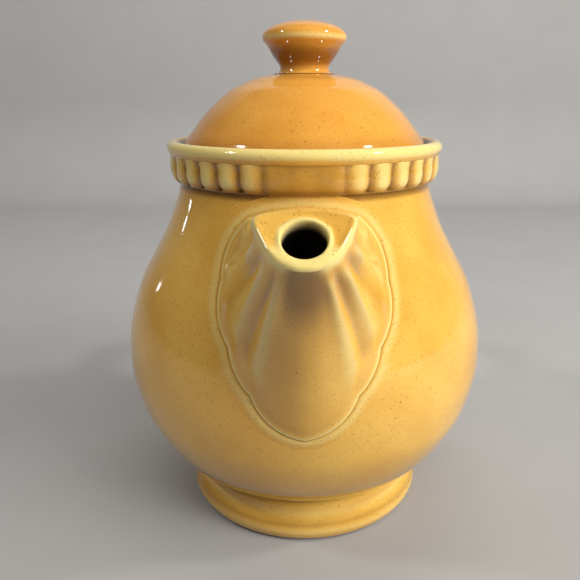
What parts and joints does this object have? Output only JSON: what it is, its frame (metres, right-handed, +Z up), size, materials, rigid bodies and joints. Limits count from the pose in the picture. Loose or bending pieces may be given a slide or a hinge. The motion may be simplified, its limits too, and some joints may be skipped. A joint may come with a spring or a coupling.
{
  "type": "teapot",
  "caption": "Pear-shaped glazed earthenware teapot with a gadrooned rim, scalloped leaf spout, loop handle and a domed lid that lifts out of its seat.",
  "frame": {"origin": "on the pot's turning axis, in the plane of the foot's bare rim that stands on the table", "axes": "+Z up along the pot's axis and the way the lid lifts, -Y the way the spout points, +Y towards the handle, +X across"},
  "size_m": [0.145, 0.2214, 0.1932],
  "materials": {
    "pot_glaze": "glossy mustard glaze with fine brown specks",
    "foot_glaze": "glossy mustard glaze, paler at the edge, bare clay where it stands",
    "rim_glaze": "glossy glaze, cream on the crests and caramel in the grooves",
    "spout_glaze": "glossy glaze, cream on the ribs and lip and caramel between them",
    "lid_glaze": "glossy orange-amber glaze with fine brown specks",
    "inner_glaze": "thin clear cream glaze"
  },
  "bodies": {
    "pot": {"pot_wall": "pot_glaze", "pot_base": "pot_glaze", "foot_ring": "foot_glaze", "rim_gallery": "rim_glaze", "gadroon_band": "rim_glaze", "spout": "spout_glaze", "strainer": "inner_glaze", "handle": "pot_glaze"},
    "lid": {"lid_dome": "lid_glaze", "lid_collar": "inner_glaze", "lid_knob": "lid_glaze"}
  },
  "joints": [
    {"name": "lid_lift", "type": "slide", "parent": "pot", "child": "lid", "axis": [0, 0, 1], "range_m": [0, 0.1]}
  ]
}
